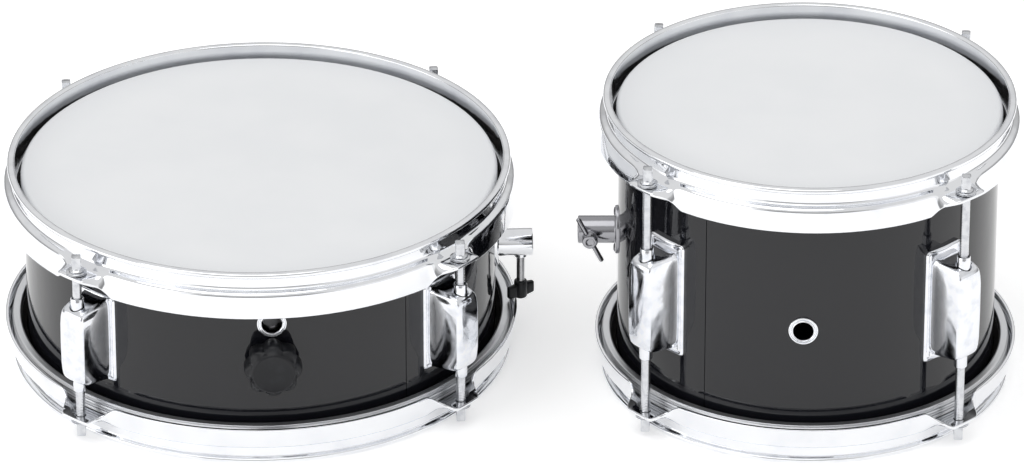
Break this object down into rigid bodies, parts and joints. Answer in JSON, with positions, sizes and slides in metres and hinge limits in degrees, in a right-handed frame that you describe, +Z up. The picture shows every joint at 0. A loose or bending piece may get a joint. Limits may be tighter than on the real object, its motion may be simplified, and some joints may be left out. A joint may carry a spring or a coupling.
{
  "type": "junior drum pair, snare drum and small tom",
  "caption": "Shallow snare drum with an inner snare strainer and a deeper small tom, chrome hoops and lugs on gloss black shells, both with rod brackets.",
  "frame": {"origin": "middle of the whole kit's footprint, on the plane that the drums stand on", "axes": "+Z up along both drums' axes, +X from the snare drum towards the tom, -Y towards the viewer of the picture (front, with vents and strainer knob)"},
  "size_m": [0.547, 0.2824, 0.1636],
  "materials": {
    "chrome": "polished chrome plate on steel and die castings",
    "black_wrap": "wood plies under a gloss black plastic wrap",
    "film": "frosted white plastic film",
    "aluminium": "plain rolled aluminium",
    "black_plastic": "satin black moulded plastic",
    "steel": "satin nickel plate on steel"
  },
  "bodies": {
    "snare": {"snare_shell": "black_wrap", "snare_vent_grommet": "chrome", "snare_batter_film": "film", "snare_batter_ring": "aluminium", "snare_bottom_film": "film", "snare_bottom_ring": "aluminium", "snare_top_hoop": "chrome", "snare_bottom_hoop": "chrome", "snare_lug_1": "chrome", "snare_lug_2": "chrome", "snare_lug_3": "chrome", "snare_lug_4": "chrome", "snare_rod_bracket": "chrome", "snare_knob_bush": "steel", "snare_hinge_bracket": "steel", "snare_hinge_pin": "steel"},
    "tom": {"tom_shell": "black_wrap", "tom_vent_grommet": "chrome", "tom_batter_film": "film", "tom_batter_ring": "aluminium", "tom_bottom_film": "film", "tom_bottom_ring": "aluminium", "tom_top_hoop": "chrome", "tom_bottom_hoop": "chrome", "tom_lug_1": "chrome", "tom_lug_2": "chrome", "tom_lug_3": "chrome", "tom_lug_4": "chrome", "tom_rod_bracket": "steel"},
    "snare_top_rod_1": {"snare_top_rod_1": "chrome"},
    "snare_top_rod_2": {"snare_top_rod_2": "chrome"},
    "snare_top_rod_3": {"snare_top_rod_3": "chrome"},
    "snare_top_rod_4": {"snare_top_rod_4": "chrome"},
    "snare_bottom_rod_1": {"snare_bottom_rod_1": "chrome"},
    "snare_bottom_rod_2": {"snare_bottom_rod_2": "chrome"},
    "snare_bottom_rod_3": {"snare_bottom_rod_3": "chrome"},
    "snare_bottom_rod_4": {"snare_bottom_rod_4": "chrome"},
    "tom_top_rod_1": {"tom_top_rod_1": "chrome"},
    "tom_top_rod_2": {"tom_top_rod_2": "chrome"},
    "tom_top_rod_3": {"tom_top_rod_3": "chrome"},
    "tom_top_rod_4": {"tom_top_rod_4": "chrome"},
    "tom_bottom_rod_1": {"tom_bottom_rod_1": "chrome"},
    "tom_bottom_rod_2": {"tom_bottom_rod_2": "chrome"},
    "tom_bottom_rod_3": {"tom_bottom_rod_3": "chrome"},
    "tom_bottom_rod_4": {"tom_bottom_rod_4": "chrome"},
    "snare_clamp": {"snare_clamp_screw": "steel", "snare_clamp_knob": "black_plastic"},
    "tom_clamp": {"tom_clamp_screw": "steel", "tom_clamp_bar": "steel"},
    "snare_strainer_knob": {"snare_knob": "black_plastic", "snare_spindle": "steel"},
    "snare_strip": {"snare_strip": "steel", "snare_wires": "steel"}
  },
  "joints": [
    {"name": "tom_lift", "type": "slide", "parent": "snare", "child": "tom", "axis": [0, 0, 1], "range_m": [0, 0.2]},
    {"name": "snare_top_rod_1_turn", "type": "hinge", "parent": "snare", "child": "snare_top_rod_1", "pos_m": [-0.22735, -0.10653, 0.1004], "axis": [0, 0, 1], "continuous": true},
    {"name": "snare_top_rod_2_turn", "type": "hinge", "parent": "snare", "child": "snare_top_rod_2", "pos_m": [-0.02574, -0.09066, 0.1004], "axis": [0, 0, 1], "continuous": true},
    {"name": "snare_top_rod_3_turn", "type": "hinge", "parent": "snare", "child": "snare_top_rod_3", "pos_m": [-0.04161, 0.11095, 0.1004], "axis": [0, 0, 1], "continuous": true},
    {"name": "snare_top_rod_4_turn", "type": "hinge", "parent": "snare", "child": "snare_top_rod_4", "pos_m": [-0.24322, 0.09508, 0.1004], "axis": [0, 0, 1], "continuous": true},
    {"name": "snare_bottom_rod_1_turn", "type": "hinge", "parent": "snare", "child": "snare_bottom_rod_1", "pos_m": [-0.22735, -0.10653, 0.0132], "axis": [0, 0, -1], "continuous": true},
    {"name": "snare_bottom_rod_2_turn", "type": "hinge", "parent": "snare", "child": "snare_bottom_rod_2", "pos_m": [-0.02574, -0.09066, 0.0132], "axis": [0, 0, -1], "continuous": true},
    {"name": "snare_bottom_rod_3_turn", "type": "hinge", "parent": "snare", "child": "snare_bottom_rod_3", "pos_m": [-0.04161, 0.11095, 0.0132], "axis": [0, 0, -1], "continuous": true},
    {"name": "snare_bottom_rod_4_turn", "type": "hinge", "parent": "snare", "child": "snare_bottom_rod_4", "pos_m": [-0.24322, 0.09508, 0.0132], "axis": [0, 0, -1], "continuous": true},
    {"name": "tom_top_rod_1_turn", "type": "hinge", "parent": "tom", "child": "tom_top_rod_1", "pos_m": [0.07253, -0.10188, 0.1504], "axis": [0, 0, 1], "continuous": true},
    {"name": "tom_top_rod_2_turn", "type": "hinge", "parent": "tom", "child": "tom_top_rod_2", "pos_m": [0.23861, -0.11058, 0.1504], "axis": [0, 0, 1], "continuous": true},
    {"name": "tom_top_rod_3_turn", "type": "hinge", "parent": "tom", "child": "tom_top_rod_3", "pos_m": [0.24731, 0.0555, 0.1504], "axis": [0, 0, 1], "continuous": true},
    {"name": "tom_top_rod_4_turn", "type": "hinge", "parent": "tom", "child": "tom_top_rod_4", "pos_m": [0.08123, 0.0642, 0.1504], "axis": [0, 0, 1], "continuous": true},
    {"name": "tom_bottom_rod_1_turn", "type": "hinge", "parent": "tom", "child": "tom_bottom_rod_1", "pos_m": [0.07253, -0.10188, 0.0132], "axis": [0, 0, -1], "continuous": true},
    {"name": "tom_bottom_rod_2_turn", "type": "hinge", "parent": "tom", "child": "tom_bottom_rod_2", "pos_m": [0.23861, -0.11058, 0.0132], "axis": [0, 0, -1], "continuous": true},
    {"name": "tom_bottom_rod_3_turn", "type": "hinge", "parent": "tom", "child": "tom_bottom_rod_3", "pos_m": [0.24731, 0.0555, 0.0132], "axis": [0, 0, -1], "continuous": true},
    {"name": "tom_bottom_rod_4_turn", "type": "hinge", "parent": "tom", "child": "tom_bottom_rod_4", "pos_m": [0.08123, 0.0642, 0.0132], "axis": [0, 0, -1], "continuous": true},
    {"name": "snare_clamp_turn", "type": "hinge", "parent": "snare", "child": "snare_clamp", "pos_m": [0.00625, 0.00909, 0.057], "axis": [0, 0, -1], "continuous": true},
    {"name": "tom_clamp_turn", "type": "hinge", "parent": "tom", "child": "tom_clamp", "pos_m": [0.04332, -0.02319, 0.082], "axis": [0, -1, 0], "continuous": true},
    {"name": "snare_knob_turn", "type": "hinge", "parent": "snare", "child": "snare_strainer_knob", "pos_m": [-0.12452, -0.1244, 0.058], "axis": [0.0785, -0.9969, 0], "range_deg": [0, 180]},
    {"name": "snare_strip_lift", "type": "hinge", "parent": "snare", "child": "snare_strip", "pos_m": [-0.14264, 0.10592, 0.08], "axis": [-0.9969, -0.0785, 0], "range_deg": [0, 0.55]}
  ],
  "couplings": [
    {"joint": "snare_strip_lift", "follows": "snare_knob_turn", "ratio": 0.003046}
  ]
}
